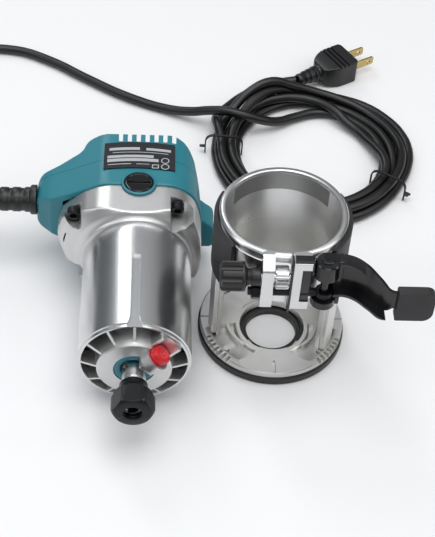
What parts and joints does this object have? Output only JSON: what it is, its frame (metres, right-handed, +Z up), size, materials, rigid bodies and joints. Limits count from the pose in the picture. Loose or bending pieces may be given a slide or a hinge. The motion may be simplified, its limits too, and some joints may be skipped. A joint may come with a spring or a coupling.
{
  "type": "trim router",
  "caption": "Compact trim router: a round aluminium motor with collet and rocker switch, a split-sleeve trim base with clamp lever and depth knob, and a coiled mains cord with plug.",
  "frame": {"origin": "on the table, under the middle of the motor unit and trim base together", "axes": "+X to the right across the motor and base, +Y to the rear along the motor's axis from the collet to the top cover, +Z up"},
  "size_m": [0.3554, 0.3676, 0.103],
  "materials": {
    "barrel_aluminium": "turned and brushed along the barrel",
    "cast_aluminium": "fine cast, satin",
    "bright_steel": "ground",
    "black_steel": "black oxide, satin",
    "teal_plastic": "fine texture, satin",
    "black_plastic": "fine texture",
    "red_plastic": "smooth",
    "label_black": "printed label, satin",
    "copper": "turned copper",
    "brass": "stamped",
    "carbon": "carbon, matt",
    "black_rubber": "smooth, slightly glossy"
  },
  "bodies": {
    "motor": {"motor_housing": "barrel_aluminium", "rack": "bright_steel", "brush_housing": "teal_plastic", "top_cover": "teal_plastic", "nameplate": "label_black", "brush_cap_upper": "black_plastic", "brush_cap_lower": "black_plastic", "brush_holder_upper": "brass", "brush_holder_lower": "brass", "brush_upper": "carbon", "brush_lower": "carbon", "housing_screw_1": "black_steel", "housing_screw_2": "black_steel", "housing_screw_3": "black_steel", "housing_screw_4": "black_steel", "stator": "bright_steel", "front_bearing": "bright_steel", "rear_bearing": "bright_steel", "bearing_seal": "teal_plastic", "cord_guard": "black_rubber", "cord_clamp": "black_plastic", "switch_body": "black_plastic", "lock_spring": "bright_steel", "cord_lead": "black_rubber", "cord_coil": "black_rubber", "cord_tail": "black_rubber", "plug_body": "black_rubber", "plug_blade_1": "brass", "plug_blade_2": "brass", "cord_tie_1": "black_plastic", "cord_tie_2": "black_plastic"},
    "spindle": {"armature_shaft": "bright_steel", "armature_core": "bright_steel", "commutator": "copper", "fan": "black_plastic"},
    "collet_body": {"collet": "bright_steel"},
    "nut_body": {"collet_nut": "black_steel"},
    "spindle_lock": {"lock_button": "red_plastic", "lock_pin": "bright_steel"},
    "switch": {"switch_rocker": "black_plastic"},
    "trim_base": {"base_casting": "cast_aluminium", "sub_base": "black_plastic", "sub_base_screw_1": "bright_steel", "sub_base_screw_2": "bright_steel", "sub_base_screw_3": "bright_steel", "sub_base_screw_4": "bright_steel", "grip_left": "black_plastic", "grip_right": "black_plastic", "lug_cover": "black_plastic", "clamp_bolt": "black_steel", "clamp_nut": "black_steel", "lever_pin": "bright_steel"},
    "depth_adjuster": {"depth_knob": "black_plastic", "pinion_shaft": "bright_steel"},
    "clamp_lever": {"lever": "black_steel", "lever_tip": "black_plastic"}
  },
  "joints": [
    {"name": "base_lift", "type": "slide", "parent": "motor", "child": "trim_base", "axis": [0, 0, 1], "range_m": [0, 0.12]},
    {"name": "spindle_spin", "type": "hinge", "parent": "motor", "child": "spindle", "pos_m": [-0.0271, -0.058, 0.036], "axis": [0, 1, 0], "continuous": true},
    {"name": "collet_release", "type": "slide", "parent": "spindle", "child": "collet_body", "axis": [0, -1, 0], "range_m": [0, 0.0016]},
    {"name": "nut_turn", "type": "hinge", "parent": "collet_body", "child": "nut_body", "pos_m": [-0.0271, -0.084, 0.036], "axis": [0, -1, 0], "range_deg": [0, 360]},
    {"name": "shaft_lock_press", "type": "slide", "parent": "motor", "child": "spindle_lock", "axis": [-0.6947, 0, -0.7193], "range_m": [0, 0.003], "stiffness_N_per_m": 600, "springref_m": -0.001, "deforming": ["lock_spring"]},
    {"name": "switch_rock", "type": "hinge", "parent": "motor", "child": "switch", "pos_m": [0.0164, 0.0602, 0.0275], "axis": [0, 0, 1], "range_deg": [-8, 8]},
    {"name": "depth_knob_turn", "type": "hinge", "parent": "trim_base", "child": "depth_adjuster", "pos_m": [0.0553, -0.0372, 0.087], "axis": [1, 0, 0], "continuous": true},
    {"name": "lever_swing", "type": "hinge", "parent": "trim_base", "child": "clamp_lever", "pos_m": [0.0771, -0.0381, 0.0885], "axis": [0, 0, 1], "range_deg": [0, 35]}
  ],
  "couplings": [
    {"joint": "collet_release", "follows": "nut_turn", "m_per_rad": 0.00023873}
  ]
}
